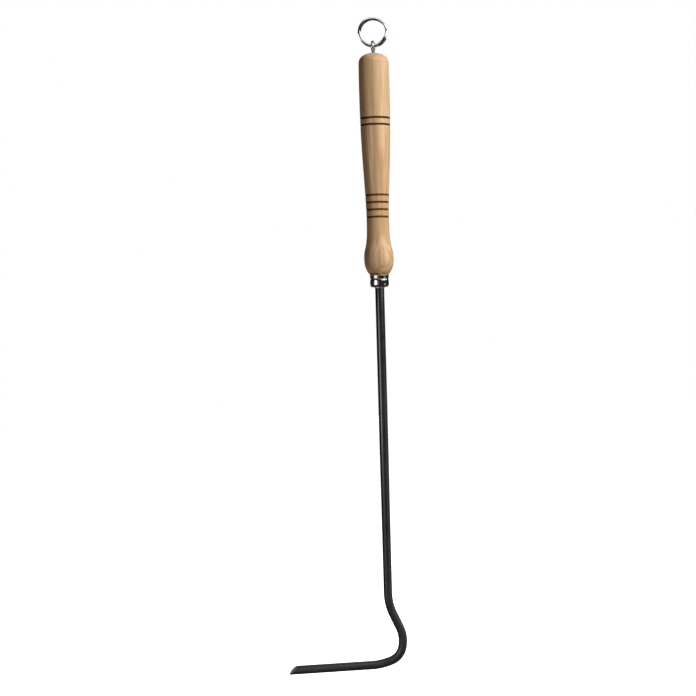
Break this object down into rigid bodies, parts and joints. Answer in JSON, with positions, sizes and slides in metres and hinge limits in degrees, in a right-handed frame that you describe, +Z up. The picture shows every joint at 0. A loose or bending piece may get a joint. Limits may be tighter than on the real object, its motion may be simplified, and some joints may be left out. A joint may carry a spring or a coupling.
{
  "type": "hand weeding hook",
  "caption": "Hand weeding hook: a bent steel rod with a slant-cut point in a turned wooden handle, with a hanging ring.",
  "frame": {"origin": "the inside top of the split ring, on its middle plane, where the tool hangs from a hook or nail", "axes": "+Z up along the handle and the straight part of the rod; the hook's tail points to -X; the ring and the bent rod lie in the plane Y = 0"},
  "size_m": [0.1101, 0.0284, 0.6064],
  "materials": {
    "ring_plating": "bright plated spring steel, fine scratches",
    "eye_plating": "bright plated wire",
    "lacquered_wood": "turned pale hardwood under clear satin lacquer, with dark burnt grooves",
    "ferrule_plating": "bright plated pressed steel",
    "black_rod": "black finish on steel, semi-gloss, with a bare sawn face at the point"
  },
  "bodies": {
    "tool": {"handle": "lacquered_wood", "ferrule": "ferrule_plating", "screw_eye": "eye_plating", "hook_rod": "black_rod"},
    "ring": {"split_ring": "ring_plating"}
  },
  "joints": [
    {"name": "ring_swing", "type": "hinge", "parent": "tool", "child": "ring", "pos_m": [0, 0, -0.0244], "axis": [1, 0, 0], "range_deg": [-140, 140]}
  ]
}
